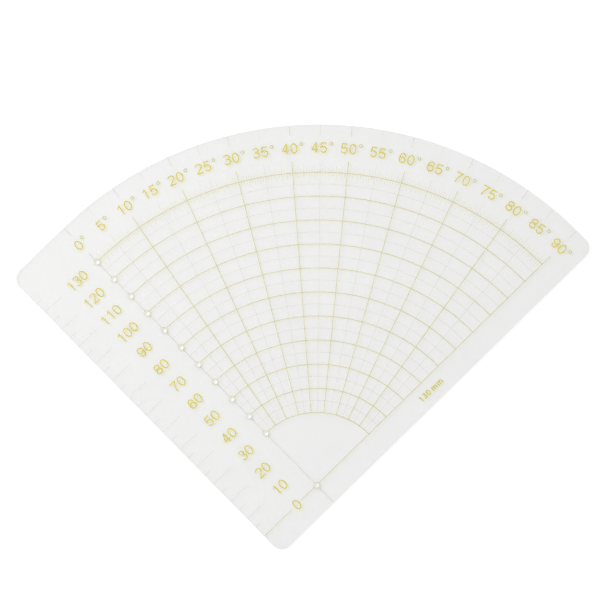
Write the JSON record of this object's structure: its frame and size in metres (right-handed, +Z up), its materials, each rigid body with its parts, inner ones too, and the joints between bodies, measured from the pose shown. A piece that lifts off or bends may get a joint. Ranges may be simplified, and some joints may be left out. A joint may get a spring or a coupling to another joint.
{
  "type": "goniometer template",
  "caption": "Clear fan-shaped sheet for reading angles from 0 to 90 degrees and drawing arcs, with a printed polar scale, a pivot hole and a row of pencil holes.",
  "frame": {"origin": "middle of the pivot hole (the pole of the scale) on the underside of the sheet", "axes": "+Z up out of the printed face, +Y along the 0 degree line, +X along the 90 degree line; angles grow clockwise from +Y"},
  "size_m": [0.18, 0.16, 0.001],
  "materials": {
    "clear_sheet": "clear, faintly frosted thermoplastic sheet",
    "line_ink": "screen-printed ink",
    "tick_ink": "screen-printed ink",
    "fine_ink": "screen-printed ink",
    "gold_ink": "screen-printed ink"
  },
  "bodies": {
    "root": {"fan_sheet": "clear_sheet", "radius_arcs_10mm": "line_ink", "radius_arcs_5mm": "fine_ink", "radial_lines_10deg": "line_ink", "radial_lines_5deg": "fine_ink", "zero_degree_line": "line_ink", "ninety_degree_line": "line_ink", "half_degree_ticks": "tick_ink", "whole_degree_ticks": "tick_ink", "rim_ticks_10deg": "fine_ink", "rim_ticks_5deg": "fine_ink", "edge_ticks_10mm": "fine_ink", "edge_ticks_5mm": "fine_ink", "hole_rings": "line_ink", "degree_numerals": "gold_ink", "degree_signs": "line_ink", "radius_numerals": "gold_ink", "size_mark": "gold_ink"}
  },
  "joints": []
}
